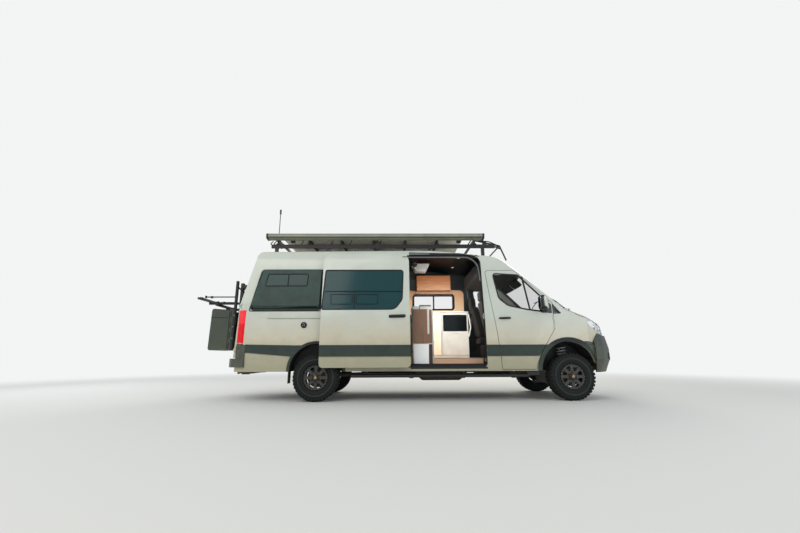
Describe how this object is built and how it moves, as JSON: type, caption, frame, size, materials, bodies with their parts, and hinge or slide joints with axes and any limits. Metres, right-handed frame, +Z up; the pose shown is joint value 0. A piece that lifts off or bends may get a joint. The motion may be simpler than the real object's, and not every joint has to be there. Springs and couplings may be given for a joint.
{
  "type": "camper van",
  "caption": "High-roof camper van with a slid-back side door, fitted galley, roof rack, awning, solar panels and a rear carrier with storage box.",
  "frame": {"origin": "middle of the overall length and width, on the ground under the tyres", "axes": "+X forward, +Y to the van's left side, +Z up"},
  "size_m": [7.564, 2.344, 3.47],
  "materials": {
    "body_paint": "pale stone-green solid paint, satin gloss",
    "pod_paint": "dark grey-green moulded window surround",
    "cladding": "dark slate grained plastic",
    "bumper": "grey grained plastic",
    "black_trim": "black plastic",
    "black_metal": "black powder coat",
    "chassis": "black chassis paint",
    "cast": "bare cast iron",
    "engine": null,
    "floor": "brown floor covering on steel",
    "glass": "clear safety glass",
    "dark_glass": "dark tinted glass",
    "lamp_clear": "clear lamp cover over bright reflectors",
    "lamp_red": "red lamp lens",
    "solar": "dark solar cells under glass",
    "awning": "anodised awning case",
    "dash": "black grained plastic",
    "seat": "black woven seat cloth",
    "white_laminate": "white laminate",
    "oven": "black glass-fronted appliance",
    "wood": "light brown wood veneer",
    "mattress": "pale mattress cover",
    "box": "grey-green powder coat",
    "tyre": "black off-road tyre rubber",
    "rim": "satin black wheel paint"
  },
  "bodies": {
    "root": {"roof_panel": "body_paint", "front_body": "body_paint", "body_side_right": "body_paint", "body_side_left": "body_paint", "floor_pan": "floor", "running_gear": "chassis", "engine_block": "engine", "windscreen": "glass", "side_glass": "dark_glass", "sliding_door": "body_paint", "slider_rail": "black_trim", "window_pods": "pod_paint", "cladding": "cladding", "front_bumper": "bumper", "grille": "black_trim", "headlamps": "lamp_clear", "tail_lamps": "lamp_red", "rear_bumper": "cladding", "side_steps": "black_metal", "roof_rack": "black_metal", "solar_panels": "solar", "awning": "awning", "dashboard": "dash", "front_seats": "seat", "galley": "white_laminate", "oven": "oven", "cupboards": "wood", "bed": "wood", "mattress": "mattress"},
    "front_door_right": {"front_door_right": "body_paint", "front_glass_right": "glass", "door_trim_right": "black_trim"},
    "rear_door_right": {"rear_door_right": "body_paint", "rear_glass_right": "dark_glass", "rear_carrier": "black_metal", "storage_box": "box"},
    "knuckle_right": {"knuckle_right": "cast"},
    "wheel_front_right": {"tyre_front_right": "tyre", "rim_front_right": "rim"},
    "wheel_rear_right": {"tyre_rear_right": "tyre", "rim_rear_right": "rim"},
    "front_door_left": {"front_door_left": "body_paint", "front_glass_left": "glass", "door_trim_left": "black_trim"},
    "rear_door_left": {"rear_door_left": "body_paint", "rear_glass_left": "dark_glass"},
    "knuckle_left": {"knuckle_left": "cast"},
    "wheel_front_left": {"tyre_front_left": "tyre", "rim_front_left": "rim"},
    "wheel_rear_left": {"tyre_rear_left": "tyre", "rim_rear_left": "rim"},
    "bonnet": {"bonnet": "body_paint"}
  },
  "joints": [
    {"name": "front_door_right_hinge", "type": "hinge", "parent": "root", "child": "front_door_right", "pos_m": [2.544, -0.997, 1.3], "axis": [0, 0, 1], "range_deg": [0, 70]},
    {"name": "rear_door_right_hinge", "type": "hinge", "parent": "root", "child": "rear_door_right", "pos_m": [-2.922, -0.95, 1.3], "axis": [0, 0, 1], "range_deg": [0, 180]},
    {"name": "steer_right", "type": "hinge", "parent": "root", "child": "knuckle_right", "pos_m": [2.778, -0.8, 0.387], "axis": [0, 0, 1], "range_deg": [-32, 32]},
    {"name": "wheel_front_right_spin", "type": "hinge", "parent": "knuckle_right", "child": "wheel_front_right", "pos_m": [2.778, -0.868, 0.387], "axis": [0, 1, 0], "continuous": true},
    {"name": "wheel_rear_right_spin", "type": "hinge", "parent": "root", "child": "wheel_rear_right", "pos_m": [-1.547, -0.868, 0.387], "axis": [0, 1, 0], "continuous": true},
    {"name": "front_door_left_hinge", "type": "hinge", "parent": "root", "child": "front_door_left", "pos_m": [2.544, 0.997, 1.3], "axis": [0, 0, -1], "range_deg": [0, 70]},
    {"name": "rear_door_left_hinge", "type": "hinge", "parent": "root", "child": "rear_door_left", "pos_m": [-2.922, 0.95, 1.3], "axis": [0, 0, -1], "range_deg": [0, 180]},
    {"name": "steer_left", "type": "hinge", "parent": "root", "child": "knuckle_left", "pos_m": [2.778, 0.8, 0.387], "axis": [0, 0, 1], "range_deg": [-32, 32]},
    {"name": "wheel_front_left_spin", "type": "hinge", "parent": "knuckle_left", "child": "wheel_front_left", "pos_m": [2.778, 0.868, 0.387], "axis": [0, 1, 0], "continuous": true},
    {"name": "wheel_rear_left_spin", "type": "hinge", "parent": "root", "child": "wheel_rear_left", "pos_m": [-1.547, 0.868, 0.387], "axis": [0, 1, 0], "continuous": true},
    {"name": "bonnet_hinge", "type": "hinge", "parent": "root", "child": "bonnet", "pos_m": [2.876, 0, 1.561], "axis": [0, -1, 0], "range_deg": [0, 55]}
  ],
  "couplings": [
    {"joint": "steer_left", "follows": "steer_right", "ratio": 1}
  ]
}
